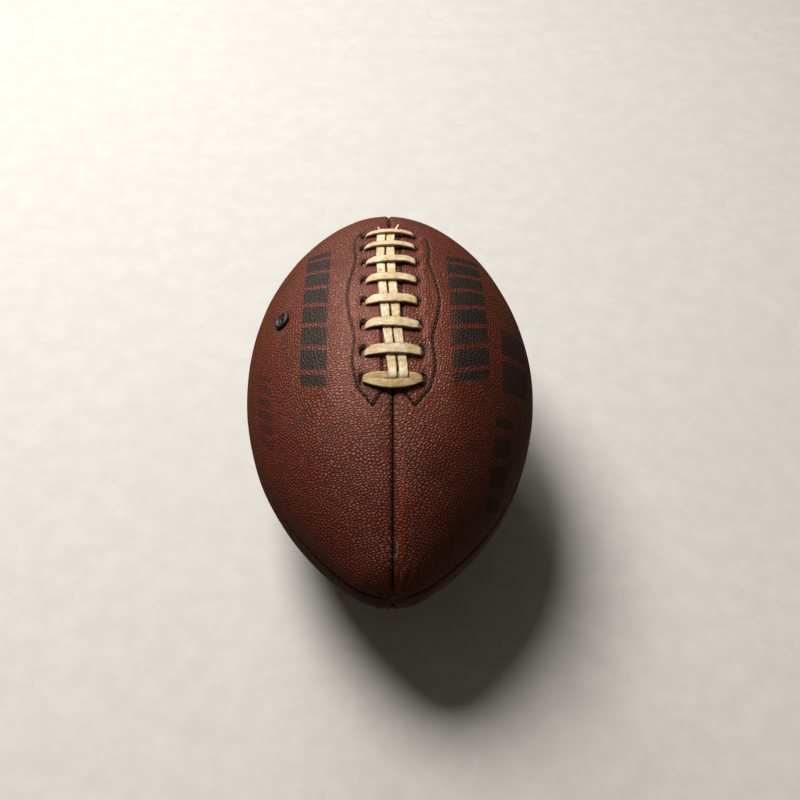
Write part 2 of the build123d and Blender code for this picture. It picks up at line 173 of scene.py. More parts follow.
def wobble(wavelength, waves=7):
    """A smooth random function of XYZ, about -1 to 1, with bumps of one rough size."""
    turns = RNG.normal(size=(waves, 3))
    turns *= 2 * pi / wavelength / np.linalg.norm(turns, axis=1, keepdims=True)
    turns *= RNG.uniform(0.6, 1.5, size=(waves, 1))
    shifts = RNG.uniform(0, 2 * pi, size=waves)

    def value(points):
        return np.sin(points @ turns.T + shifts).sum(axis=-1) / waves**0.5

    return value


def ease(value, start, end):
    """0 before start, 1 after end, smooth between them."""
    t = np.clip((value - start) / (end - start), 0, 1)
    return t * t * (3 - 2 * t)


def bump(distance, width):
    """A round bump, 1 at no distance."""
    return np.exp(-((distance / width) ** 2))


def graded(*stretches):
    """Values over several stretches (start, end, step), each ending where the next one starts."""
    parts = []
    for start, end, step in stretches:
        count = max(1, int(round((end - start) / step)))
        parts.append(np.linspace(start, end, count, endpoint=False))
    parts.append([stretches[-1][1]])
    return np.concatenate(parts)


def make_object(name, points, faces):
    """A smooth mesh object from points in millimetres, riding on the ball's one body."""
    mesh = bpy.data.meshes.new(name)
    mesh.from_pydata((np.asarray(points) * MM).tolist(), [], faces)
    mesh.validate()
    mesh.shade_smooth()
    piece = bpy.data.objects.new(name, mesh)
    bpy.context.scene.collection.objects.link(piece)
    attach(piece, "root")
    return piece


def store(mesh, name, values):
    """Keep one vector for each vertex of a mesh, for its material."""
    layer = mesh.attributes.new(name, "FLOAT_VECTOR", "POINT")
    layer.data.foreach_set("vector", np.asarray(values, dtype=np.float32).ravel())


def tube_faces(rings, ring_size, first=0):
    """Quads between closed rings of points that follow each other, with an end cap on each side."""
    faces = []
    for ring in range(rings - 1):
        low = first + ring * ring_size
        high = low + ring_size
        for k in range(ring_size):
            after = (k + 1) % ring_size
            faces.append((low + k, low + after, high + after, high + k))
    faces.append(tuple(range(first + ring_size - 1, first - 1, -1)))
    last = first + (rings - 1) * ring_size
    faces.append(tuple(range(last, last + ring_size)))
    return faces


def recalculate_normals(piece):
    """Turn all faces of a mesh outwards."""
    work = bmesh.new()
    work.from_mesh(piece.data)
    bmesh.ops.recalc_face_normals(work, faces=work.faces)
    work.to_mesh(piece.data)
    work.free()


def make_tubes(name, tubes):
    """One object made of closed tubes, each an array of rings of points."""
    faces = []
    first = 0
    for tube in tubes:
        rings, ring_size, _ = tube.shape
        faces += tube_faces(rings, ring_size, first)
        first += rings * ring_size
    piece = make_object(name, np.vstack([tube.reshape(-1, 3) for tube in tubes]), faces)
    recalculate_normals(piece)
    return piece


def round_tube(centre, aside, outwards, thick, flatness, ring):
    """Rings of points round a line."""
    rings = []
    for k in range(ring):
        spin = 2 * pi * k / ring
        rings.append(centre + thick[:, None] * (cos(spin) * aside + flatness * sin(spin) * outwards))
    return np.stack(rings, axis=1)


# -------------------------------- facings and their stitch lines
FACING_WAVE = (
    (61, 20.4), (46, 21.3), (31, 20.4), (15, 23.3), (-1, 25.1),
    (-16, 23.2), (-30, 20.5), (-46, 21.7), (-60, 18.6),
)
FACING_TIPS = ((-71, 10.8), (-63, 5.5), (69, 5.5), (77, 10.8))
RIGHT_FACING_SCALE = 1.08
FACING_STITCH_PITCH = 3.4


def facing_line(side):
    """The closed line of a facing's stitching, as (along, across)."""
    scale = RIGHT_FACING_SCALE if side > 0 else 1.0
    wave = smooth_line(FACING_WAVE, 90)
    tips = np.array(FACING_TIPS, dtype=float)
    wave[:, 1] *= scale
    tips[[0, 3], 1] *= scale
    line = np.vstack([wave, tips, wave[:1]])
    line[:, 1] *= side
    return line


FACING_LINES = {side: facing_line(side) for side in (-1, 1)}


def line_distance(places, line):
    """Distance of each place from a line of points, negative inside the closed line."""
    nearest = np.full(len(places), np.inf)
    inside = np.zeros(len(places), dtype=bool)
    for start, end in zip(line[:-1], line[1:]):
        step = end - start
        length = step @ step
        if length < 1e-9:
            continue
        t = np.clip(((places - start) @ step) / length, 0, 1)
        gap = places - start - t[:, None] * step
        nearest = np.minimum(nearest, (gap**2).sum(axis=1))
        crosses = (start[0] > places[:, 0]) != (end[0] > places[:, 0])
        if step[0] != 0:
            meets = start[1] + (places[:, 0] - start[0]) * step[1] / step[0]
            inside ^= crosses & (places[:, 1] < meets)
    return np.sqrt(nearest) * np.where(inside, -1, 1)


# -------------------------------- the leather's surface
slow_wobble = wobble(70)
mid_wobble = wobble(22)
edge_wobble = wobble(6)
rub_wobble = wobble(14)


# heights and depths of the leather's relief, in mm
SLOW_SWELL = 0.22
MID_SWELL = 0.1
SEAM_DIP = 0.4                # towards a seam, fading over the reach
SEAM_DIP_REACH = 6.5
PUCKER_DEPTH = 0.42           # where a hidden stitch pulls the edge in
PUCKER_RISE = 0.15            # where the leather stands up between two stitches
END_FOLD_HEIGHT = 0.22
END_FOLDS = (138, 172)        # from where to where along the ball the end folds grow
FACING_RISE = 0.38            # of the leather over a facing
STITCH_LINE_DEPTH = 0.62
SLIT_DIP = 0.9
HOLE_DEPTH = 1.3
DEEP_HOLE_DEPTH = 2.7         # more, where the hole goes on through the facing
HOLE_SAG = 0.55               # of the leather round a hole
HOLE_RIM = 0.25
HOLE_POWER = 2.4              # 2 makes an oval hole, and more a squarer one
VALVE_SEAT_DEPTH = 1.2
VALVE_DENT = 0.45


def fold_into_seams(height, dirt_and_shade, along, to_top, to_side, base):
    """Round a panel's edges down into its two seams, puckered at the hidden stitches, with the seam and
    each stitch's dip darkened by dirt and painted shade.
    """
    narrow = meridian(along)[1] * pi / 2
    seam_round = np.minimum(SEAM_ROUND, 0.2 * narrow)
    for distance in (to_top, to_side):
        t = np.clip(distance / seam_round, 0, 1)
        height += seam_round * (np.sqrt(np.maximum(0, 1 - (1 - t) ** 2)) - 1)
        height -= SEAM_DIP * np.exp(-distance / SEAM_DIP_REACH)
        stitch = 0.5 + 0.5 * np.cos(2 * pi * (along + 0.6 * edge_wobble(base)) / STITCH_PITCH)
        height -= PUCKER_DEPTH * stitch * bump(distance - 1.0, 1.1)
        height += PUCKER_RISE * (1 - stitch) * bump(distance - 2.6, 1.5)
        # the seam and each stitch's dip are darkened: dirt and painted shade
        np.maximum(dirt_and_shade, bump(distance, 0.75), out=dirt_and_shade)
        np.maximum(dirt_and_shade, 0.75 * stitch * bump(distance - 0.7, 0.8), out=dirt_and_shade)


def gather_ends(height, along, across, to_top, to_side, base):
    """Gather the leather into small folds towards the pointed ends."""
    narrow = meridian(along)[1] * pi / 2
    near_end = ease(np.abs(along), *END_FOLDS)
    fold = np.sin(11 * across / np.maximum(narrow, 8) * pi + 3 * mid_wobble(base))
    height += END_FOLD_HEIGHT * near_end * fold * ease(to_top, 1, 5) * ease(to_side, 1, 5)


def press_facing(height, dirt_and_shade, along, across, to_top, side):
    """Show the facing under the leather, its sunk stitching and the slit, which stands open a little."""
    laced = (np.abs(across) < 36) & (along > -84) & (along < 90)
    places = np.stack([along, across], axis=-1)[laced]
    to_stitches = line_distance(places, FACING_LINES[side])
    rise = FACING_RISE * ease(-to_stitches, -1.2, 1.6)
    height[laced] += rise - STITCH_LINE_DEPTH * bump(to_stitches, 0.85)
    # the stitch line's groove is darkened: dirt and painted shade
    dirt_and_shade[laced] = np.maximum(dirt_and_shade[laced], 0.9 * bump(to_stitches, 0.7))
    slit = ease(along, -68, -60) * (1 - ease(along, 62, 70))
    height -= SLIT_DIP * slit * bump(to_top, 2.2)


def sink_holes(height, dirt_and_shade, rub, hole_shade, along, across, side, base):
    """Sink the lace holes, with painted shade inside them and dirt and painted shade round their mouths,
    and with the dye rubbed off beside the bars on the right.
    """
    reaches = RIGHT_REACH if side > 0 else LEFT_REACH
    for row, reach_out, row_rub in zip(ROW_ALONG, reaches, RUBBED_ROWS):
        aside = (np.abs(across) - reach_out - HOLE_OUTSIDE) / HOLE_HALF[0]
        beyond = (along - row - HOLE_SHIFT) / HOLE_HALF[1]
        reach = (np.abs(aside) ** HOLE_POWER + np.abs(beyond) ** HOLE_POWER) ** (1 / HOLE_POWER)
        hole = 1 - ease(reach, 0.72, 1.12)
        deep_aside = (np.abs(across) - LACE_REACH) / 1.5
        deep_beyond = (along - row) / 3.4
        deep = 1 - ease(np.hypot(deep_aside, deep_beyond), 0.55, 0.95)
        height -= hole * (HOLE_DEPTH + DEEP_HOLE_DEPTH * deep)
        height -= HOLE_SAG * bump(reach, 2.1) * (1 - hole)
        height += HOLE_RIM * bump(reach - 2.3, 0.7) * ease(np.abs(across), 14, 19)
        # painted shade inside the hole, and dirt and painted shade round its mouth
        np.maximum(hole_shade, 1 - ease(reach, 0.85, 1.25), out=hole_shade)
        np.maximum(dirt_and_shade, 0.4 * (1 - ease(reach, 1.0, 1.9)), out=dirt_and_shade)
        if side > 0:
            rubbed = bump(across - reach_out - 3.2, 1.5) * bump(along - row + 2.4, 2.3)
            np.maximum(rub, row_rub * rubbed * (0.85 + 0.3 * rub_wobble(base)), out=rub)


def seat_valve(height, dirt_and_shade, base):
    """Dent the leather round the valve, with the button's edge darkened by dirt and painted shade."""
    away = np.linalg.norm(base - ball_points(VALVE_ALONG, VALVE_ANGLE), axis=-1)
    height -= VALVE_SEAT_DEPTH * (1 - ease(away, 3.6, 4.9)) + VALVE_DENT * bump(away - 5.4, 1.6)
    # the button's edge is darkened: dirt and painted shade
    np.maximum(dirt_and_shade, 0.5 * bump(away - 5.2, 0.9), out=dirt_and_shade)


def leather_height(side_z, along, across, to_top, to_side, base):
    """Height of the leather over the plain outline, and its marks (dirt and painted shade, rub, painted
    shade in the holes).
    """
    height = SLOW_SWELL * slow_wobble(base) + MID_SWELL * mid_wobble(base)
    dirt_and_shade, rub, hole_shade = (np.zeros_like(height) for _ in range(3))
    fold_into_seams(height, dirt_and_shade, along, to_top, to_side, base)
    gather_ends(height, along, across, to_top, to_side, base)
    if side_z > 0:
        side = 1 if np.mean(across) > 0 else -1
        # the dye is rubbed off beside the top seam, most of all to its right
        rub += np.where(across > 0, 0.42, 0.06) * bump(to_top - 4.2, 1.3) * ease(-along, 80, 112)
        press_facing(height, dirt_and_shade, along, across, to_top, side)
        sink_holes(height, dirt_and_shade, rub, hole_shade, along, across, side, base)
        if side < 0:
            seat_valve(height, dirt_and_shade, base)
    return height, np.stack([dirt_and_shade, np.clip(rub, 0, 1), hole_shade], axis=-1)


SEAM_COLUMNS = np.array([0.0, 0.1, 0.25, 0.48, 0.8, 1.2, 1.7])
LACED_REACH = 32.0            # of the closely divided leather beside the top seam
SIDE_REACH = 8.0
PATTERN_SHIFT = 400           # between one panel's grain and the next one's


def panel_columns(laced):
    """Distances from the top seam of a panel's columns, at the ball's middle."""
    near = graded((2.2, LACED_REACH, 0.46)) if laced else graded((2.3, SIDE_REACH, 0.7))
    middle = graded((near[-1], QUARTER_WIDTH - SIDE_REACH, 2.4))[1:]
    side = graded((QUARTER_WIDTH - SIDE_REACH, QUARTER_WIDTH - 2.3, 0.7))[1:]
    return np.concatenate([SEAM_COLUMNS, near, middle, side, QUARTER_WIDTH - SEAM_COLUMNS[::-1]])


def make_panel(name, side_x, side_z, number):
    """One quarter of the ball's leather, with its edges turned in along both seams."""
    laced = side_z > 0
    mirrored = side_x * side_z > 0
    end = END_ALONG - 0.4
    if laced:
        rows = graded((-end, -80, 0.95), (-80, 86, 0.47), (86, end, 0.95))
    else:
        rows = graded((-end, end, 0.95))
    columns = panel_columns(laced)
    along, column = np.meshgrid(rows, columns, indexing="ij")
    radius = meridian(along)[1]
    narrow = radius * pi / 2
    gap = np.minimum(SEAM_GAP, 0.02 * narrow)
    to_top = gap + column / QUARTER_WIDTH * (narrow - 2 * gap)
    to_side = narrow - to_top
    turn_from_seam = to_top / radius
    turn = side_x * (turn_from_seam if laced else pi - turn_from_seam)
    base = ball_points(along, turn)
    across = turn * radius
    shape = along.shape
    flat = [values.reshape(-1) for values in (along, across, to_top, to_side)]
    height, marks_and_shade = leather_height(side_z, *flat, base.reshape(-1, 3))
    outer = ball_points(along, turn, height.reshape(shape))

    # turned edges and inner skin: (distance from its seam, depth), side seam first
    fold_in = SEAM_GAP + TURNED_EDGE
    edge = [(SEAM_GAP, TURNED_EDGE_DEPTH), (fold_in, TURNED_EDGE_DEPTH), (fold_in, LEATHER)]
    skin = np.linspace(QUARTER_WIDTH - fold_in, fold_in, 14)[1:-1]
    inside = [(QUARTER_WIDTH - distance, depth) for distance, depth in edge]
    inside += [(distance, LEATHER) for distance in skin]
    inside += edge[::-1]
    inner_column = np.array([distance for distance, _ in inside])
    inner_depth = np.array([depth for _, depth in inside])
    inner_along, inner_distance = np.meshgrid(rows, inner_column, indexing="ij")
    inner_turn = inner_distance / QUARTER_WIDTH * pi / 2
    inner_turn = side_x * (inner_turn if laced else pi - inner_turn)
    shrink = np.minimum(1, meridian(inner_along)[1] / 12)
    inner = ball_points(inner_along, inner_turn, -inner_depth[None, :] * (0.3 + 0.7 * shrink))

    points = np.concatenate([outer, inner], axis=1)
    ring = points.shape[1]
    if mirrored:
        points = points[::-1]
    panel = make_object(name, points.reshape(-1, 3), tube_faces(len(rows), ring))
    middle_turn = side_x * (pi / 4 if laced else 3 * pi / 4)
    hide, place, wear_and_shade = (np.zeros((len(rows), ring, 3)) for _ in range(3))
    outer_count = len(columns)
    hide[:, :outer_count, 0] = along
    hide[:, :outer_count, 1] = (turn - middle_turn) * radius + PATTERN_SHIFT * number
    hide[:, outer_count:, 0] = inner_along
    inner_across = (inner_turn - middle_turn) * meridian(inner_along)[1]
    hide[:, outer_count:, 1] = inner_across + PATTERN_SHIFT * number
    place[:, :outer_count, 0] = along
    place[:, :outer_count, 1] = across
    # marks: dirt and painted shade, rubbed dye, and painted shade in the holes
    wear_and_shade[:, :outer_count] = marks_and_shade.reshape(shape + (3,))
    for name_of_layer, values in (("hide", hide), ("place", place), ("wear_and_shade", wear_and_shade)):
        values = values[::-1] if mirrored else values
        store(panel.data, name_of_layer, values.reshape(-1, 3))
    return panel


# -------------------------------- straps of the lace
CORNER_STEPS = 4
FLAT_STEPS = 6
CORNER_SHARE = 0.42           # rounding of a strap's corners, as a share of its thickness
CROWN = 0.1                   # how far the middle of its outer face stands up
UNEVEN_WIDTH = 0.03           # as a share of its width
UNEVEN_FACE = 0.07
GRAIN_SHIFTS = (40, 11)       # along and across, between one strap's grain and the next one's


def strap_section():
    """Outline of a flat lace, -1 to 1 in width and in thickness, and how round each point is."""
    flat = np.linspace(-1, 1, FLAT_STEPS + 2)[1:-1]
    corner = np.linspace(0, pi / 2, CORNER_STEPS)
    outline = []
    for quarter in range(4):
        diagonal = quarter * pi / 2 + pi / 4
        sign_w, sign_t = np.sign(cos(diagonal)), np.sign(sin(diagonal))
        for angle in corner + quarter * pi / 2:
            outline.append((sign_w, sign_t, cos(angle), sin(angle)))
        if quarter in (0, 2):
            direction = 1 if quarter == 0 else -1
            for value in flat:
                outline.append((-direction * value, direction, 0.0, 0.0))
    return np.array(outline)


SECTION = strap_section()


def strap(points, spans, count, age, seed_shift):
    """Rings of points of a flat strap along a smooth line of (along, across, height, width, thick).

    spans is the side that its width points to: "along" or "across" the ball. age is how yellowed
    and soiled it is, 0 to 1.
    """
    line = smooth_line(points, count)
    along, across, height, width, thick = line.T
    centre, lengthwise, sideways, out = ball_line(along, across, height)
    forward = np.gradient(centre, axis=0)
    forward /= np.linalg.norm(forward, axis=1, keepdims=True)
    towards = lengthwise if spans == "along" else sideways
    towards = towards - (towards * forward).sum(axis=1, keepdims=True) * forward
    towards /= np.linalg.norm(towards, axis=1, keepdims=True)
    up = np.cross(towards, forward)
    middle = len(up) // 2
    if up[middle] @ out[middle] < 0:
        up = -up
    run = np.concatenate([[0], np.cumsum(np.linalg.norm(np.diff(centre, axis=0), axis=1))])
    sample = np.stack([run, np.full(count, seed_shift), np.zeros(count)], axis=-1)
    width = width * (1 + UNEVEN_WIDTH * lace_edge_wobble(sample))
    corner = CORNER_SHARE * thick
    rings = []
    for sign_w, sign_t, part_w, part_t in SECTION:
        if part_w == 0 and part_t == 0:
            aside = sign_w * (width / 2 - corner)
            above = sign_t * thick / 2
        else:
            aside = sign_w * (width / 2 - corner) + corner * part_w
            above = sign_t * (thick / 2 - corner) + corner * part_t
        crown = CROWN * (1 - (2 * aside / width) ** 2) * (1 if above.mean() > 0 else -0.5)
        uneven = sample + np.stack([np.zeros(count), aside, above], axis=-1)
        above = above + crown + UNEVEN_FACE * lace_face_wobble(uneven)
        rings.append(centre + aside[:, None] * towards + above[:, None] * up)
    rings = np.stack(rings, axis=1)
    grain = np.zeros(rings.shape)
    rim = np.zeros(rings.shape)
    grain[..., 0] = run[:, None] + GRAIN_SHIFTS[0] * seed_shift
    for k, (sign_w, sign_t, part_w, part_t) in enumerate(SECTION):
        aside = sign_w * (width / 2 - corner) + corner * part_w
        grain[:, k, 1] = aside + GRAIN_SHIFTS[1] * seed_shift
        rim[:, k, 0] = np.abs(aside) / (width / 2)
        rim[:, k, 1] = age
    grain[..., 2] = SECTION[:, 1] * 0.4
    # painted shade where the lace goes down below the leather
    rim[..., 2] = ease(height, 1.2, -0.6)[:, None]
    return rings, grain, rim


lace_edge_wobble = wobble(5)
lace_face_wobble = wobble(3.2)


# how far each bar's left half leans towards +along, and its right half the other way
BAR_BOWS = (-0.3, -0.1, -0.5, 0.1, -0.2, 0.3, -0.1)
BAR_WIDTHS = (5.2, 5.6, 6.2, 6.3, 6.5, 6.4, 6.4)
LEFT_FOLD = (
    # share of the row's reach, height, share of the bar's width, shift along
    (0.93, 1.05, 0.64, -1.1), (1.00, 0.0, 0.50, -1.4),
    (1.03, -2.2, 0.46, -1.2), (1.02, -4.6, 0.46, -0.9),
)
RIGHT_FOLD = (
    (0.95, 1.15, 0.86, -0.3), (1.01, 0.1, 0.78, -0.5),
    (1.03, -2.2, 0.72, -0.4), (1.02, -4.6, 0.70, -0.2),
)


def bar_line(row):
    """Centre line of a cross bar from hole to hole, folding down into both."""
    along = ROW_ALONG[row]
    bow = BAR_BOWS[row]
    width = BAR_WIDTHS[row]
    lift = 0.12 * sin(1.9 * row)
    points = []
    for share_out, height, share, shift in LEFT_FOLD[::-1]:
        points.append((along + shift, -LEFT_REACH[row] * share_out, height, width * share, LACE_THICKNESS))
    points.append((along - 0.4 + bow, -LEFT_REACH[row] * 0.78, 1.6, width * 0.88, LACE_THICKNESS))
    points.append((along + 0.1 + bow, -8.2, 2.05 + lift, width, LACE_THICKNESS))
    points.append((along + bow * 0.5, -3.0, 2.5, width, LACE_THICKNESS))
    points.append((along + bow * 0.3, 2.5, 2.52, width, LACE_THICKNESS))
    points.append((along + 0.1 - bow, 7.6, 2.1 - lift, width, LACE_THICKNESS))
    points.append((along - 0.1 - bow, RIGHT_REACH[row] * 0.80, 1.65, width * 0.96, LACE_THICKNESS))
    for share_out, height, share, shift in RIGHT_FOLD:
        points.append((along + shift, RIGHT_REACH[row] * share_out, height, width * share, LACE_THICKNESS))
    return points


STRAND_THICKNESS = 1.6
OUTER_STRAND = (
    # beyond the last row, across, height, width
    (0.8, 15.2, -4.4, 2.8), (0.7, 15.3, -1.6, 2.8), (0.4, 15.0, 0.5, 3.0), (-0.3, 13.8, 1.35, 3.6),
    (-2.0, 9.3, 1.85, 4.7), (-3.1, 4.5, 2.1, 5.2), (-3.5, 0.0, 2.15, 5.4),
)
INNER_STRAND = (
    (1.5, 15.0, -4.4, 2.4), (1.5, 15.1, -1.6, 2.4), (1.6, 14.8, 0.4, 2.6), (1.8, 13.4, 1.0, 3.0),
    (2.0, 9.3, 1.1, 4.0), (1.7, 4.5, 0.95, 4.5), (1.5, 0.0, 0.9, 4.6),
)


def strand_line(half):
    """Centre line of one of the two bowed strands of the last row."""
    points = []
    for side, stretch in ((-1, half), (1, half[-2::-1])):
        for beyond, across, height, width in stretch:
            points.append((LAST_ROW + beyond, side * across, height, width, STRAND_THICKNESS))
    return points


STRIP_WIDTH = 5.25
STRIP_THICKNESS = 1.45
STRIP_HEIGHT = 0.78           # under a cross bar; it bulges up between two bars
STRIP_BULGE = 0.3
STRIP_LINE = ((65, -2.1), (37, -3.0), (4, -2.1), (-31, 0.5), (-52, 2.8), (-58, 3.1))   # along, across
STRIP_GAPS = (
    # along, half of the gap between the two strips
    (65, 0.06), (45, 0.14), (28, 0.26), (10, 0.12), (-10, 0.24), (-30, 0.10), (-45, 0.22), (-60, 0.22),
)
DIVE_THICKNESS = 1.4
STRIP_DIVE = (
    # along, height, where a strip goes down into the slit before the last row
    (-52.2, 1.75), (-54.4, 2.35), (-56.0, 2.2), (-57.0, 1.3), (-57.4, -0.6), (-57.5, -3.6),
)


def strip_line(side):
    """Centre line of one of the two long strips under the cross bars."""
    path = even_steps(smooth_line(STRIP_LINE, 120), 2.0)
    path = path[path[:, 0] > -50]
    points = []
    for along, across in path:
        nearest = min(abs(along - row) for row in ROW_ALONG[:-1])
        bulge = STRIP_BULGE * ease(nearest, 3, 7)
        gap = np.interp(-along, [-place for place, _ in STRIP_GAPS], [half for _, half in STRIP_GAPS])
        aside = across + side * (STRIP_WIDTH / 2 + gap)
        points.append((along, aside, STRIP_HEIGHT + bulge, STRIP_WIDTH, STRIP_THICKNESS))
    aside = points[-1][1] + 0.25
    for along, height in STRIP_DIVE:
        points.append((along, aside, height, STRIP_WIDTH - 0.1, DIVE_THICKNESS))
    return points


TAILS = (
    # along, across, height, width, thickness
    ((60, -5.0, 0.8, 3.2, 1.1), (63.5, -5.6, 0.9, 2.0, 0.9), (66.5, -6.2, 1.1, 1.5, 0.7),
     (70.5, -7.0, 1.6, 0.8, 0.5)),
    ((60, 0.6, 0.8, 3.4, 1.2), (63.5, 2.2, 1.0, 2.2, 1.0), (67, 3.6, 1.5, 1.8, 0.8),
     (72, 5.0, 2.5, 1.0, 0.5)),
)


def make_lace():
    """The whole visible lace: seven bars, the two strands of the last row, two strips and their ends."""
    straps = [(bar_line(row), "along", 110, 0.35) for row in range(LACE_ROWS - 1)]
    straps += [(strand_line(half), "along", 120, 0.9) for half in (OUTER_STRAND, INNER_STRAND)]
    straps += [(strip_line(side), "across", 420, 0.0) for side in (-1, 1)]
    straps += [(tail, "across", 40, 0.2) for tail in TAILS]
    tubes, grains, rims = [], [], []
    for number, (line, spans, count, age) in enumerate(straps):
        rings, grain, rim = strap(line, spans, count, age, float(number))
        tubes.append(rings)
        grains.append(grain.reshape(-1, 3))
        rims.append(rim.reshape(-1, 3))
    lace = make_tubes("lace_visible", tubes)
    store(lace.data, "grain", np.vstack(grains))
    store(lace.data, "rim", np.vstack(rims))
    return lace


# -------------------------------- stitches
STITCH_LENGTH = 3.3
STITCH_THREAD = 0.82
STITCH_FLATNESS = 0.7
STITCH_SUNK = -0.76           # height of a stitch's two ends
STITCH_ARCH = 0.62            # rise of its middle over them


def make_facing_stitches(name, side):
    """The separate stitches round one facing, each dipping into the leather at both ends."""
    stops = even_steps(FACING_LINES[side], FACING_STITCH_PITCH)
    ring, sections = 8, 9
    tubes = []
    for start, end in zip(stops[:-1], stops[1:]):
        step = end - start
        length = np.linalg.norm(step)
        if length < 0.5 * FACING_STITCH_PITCH:
            continue
        share = np.linspace(0.5 - STITCH_LENGTH / length / 2, 0.5 + STITCH_LENGTH / length / 2, sections)
        jitter = RNG.uniform(-0.12, 0.12, size=2)
        places = start + share[:, None] * step + jitter
        arch = np.sqrt(1 - (2 * np.linspace(0, 1, sections) - 1) ** 2)
        height = STITCH_SUNK + STITCH_ARCH * arch
        thick = STITCH_THREAD / 2 * (0.35 + 0.65 * arch)
        centre, lengthwise, sideways, outwards = ball_line(*places.T, height)
        aside = (-step[1] * lengthwise + step[0] * sideways) / length
        tubes.append(round_tube(centre, aside, outwards, thick, STITCH_FLATNESS, ring))
    return make_tubes(name, tubes)


# -------------------------------- valve
VALVE_PROFILE = (
    # radius, height
    (2.9, -12.0), (2.9, -0.6), (4.7, -0.6), (5.05, 0.1), (5.15, 0.7), (5.05, 1.25), (4.7, 1.62),
    (4.2, 1.78), (3.7, 1.72), (3.3, 1.48), (3.0, 1.15), (2.4, 1.0), (1.7, 0.95), (1.2, 0.8),
    (0.98, 0.4), (0.95, -0.5), (0.95, -12.0),
)


def make_valve():
    """The black rubber valve button with its dished face and needle hole."""
    profile = smooth_line(VALVE_PROFILE, 90)
    turns = 72
    centre = ball_points(VALVE_ALONG, VALVE_ANGLE)
    lengthwise, sideways, outwards = directions(np.array(VALVE_ALONG), np.array(VALVE_ANGLE))
    points = []
    for step in range(turns):
        spin = 2 * pi * step / turns
        aside = cos(spin) * lengthwise + sin(spin) * sideways
        points.append(centre + profile[:, :1] * aside + profile[:, 1:] * outwards)
    points = np.array(points).reshape(-1, 3)
    count = len(profile)
    faces = []
    for step in range(turns):
        here = step * count
        after = (step + 1) % turns * count
        for k in range(count):
            following = (k + 1) % count
            faces.append((here + k, after + k, after + following, here + following))
    valve = make_object("valve_button", points, faces)
    recalculate_normals(valve)
    return valve


# -------------------------------- loose fibres
FIBRES = (
    # along, across, direction in degrees, length
    (-141, 2.2, 200, 6.0), (-143, 4.0, 250, 5.0), (-146, 3.2, 215, 6.5), (-139, -2.6, 150, 5.0),
    (-145, -3.4, 100, 4.0), (-150, 1.8, 260, 4.5), (-70, 1.2, 60, 3.0), (-66, -2.4, 120, 3.5),
)


FIBRE_RADIUS = 0.13


def make_fibres():
    """Thin pale fibres that have worked loose from the seam near the end of the ball."""
    ring, sections = 6, 14
    tubes = []
    for along, across, heading, length in FIBRES:
        heading = radians(heading)
        step = np.linspace(0, 1, sections)
        curl = heading + step * RNG.uniform(-1.4, 1.4)
        move = np.stack([np.cos(curl), np.sin(curl)], axis=-1) * length / sections
        places = np.array([along, across]) + np.cumsum(move, axis=0)
        height = -0.6 + 1.6 * np.sin(step * pi * 0.75)
        thick = FIBRE_RADIUS * (1 - 0.7 * step)
        centre, _, sideways, outwards = ball_line(*places.T, height)
        tubes.append(round_tube(centre, sideways, outwards, thick, 1.0, ring))
    return make_tubes("seam_fibres", tubes)


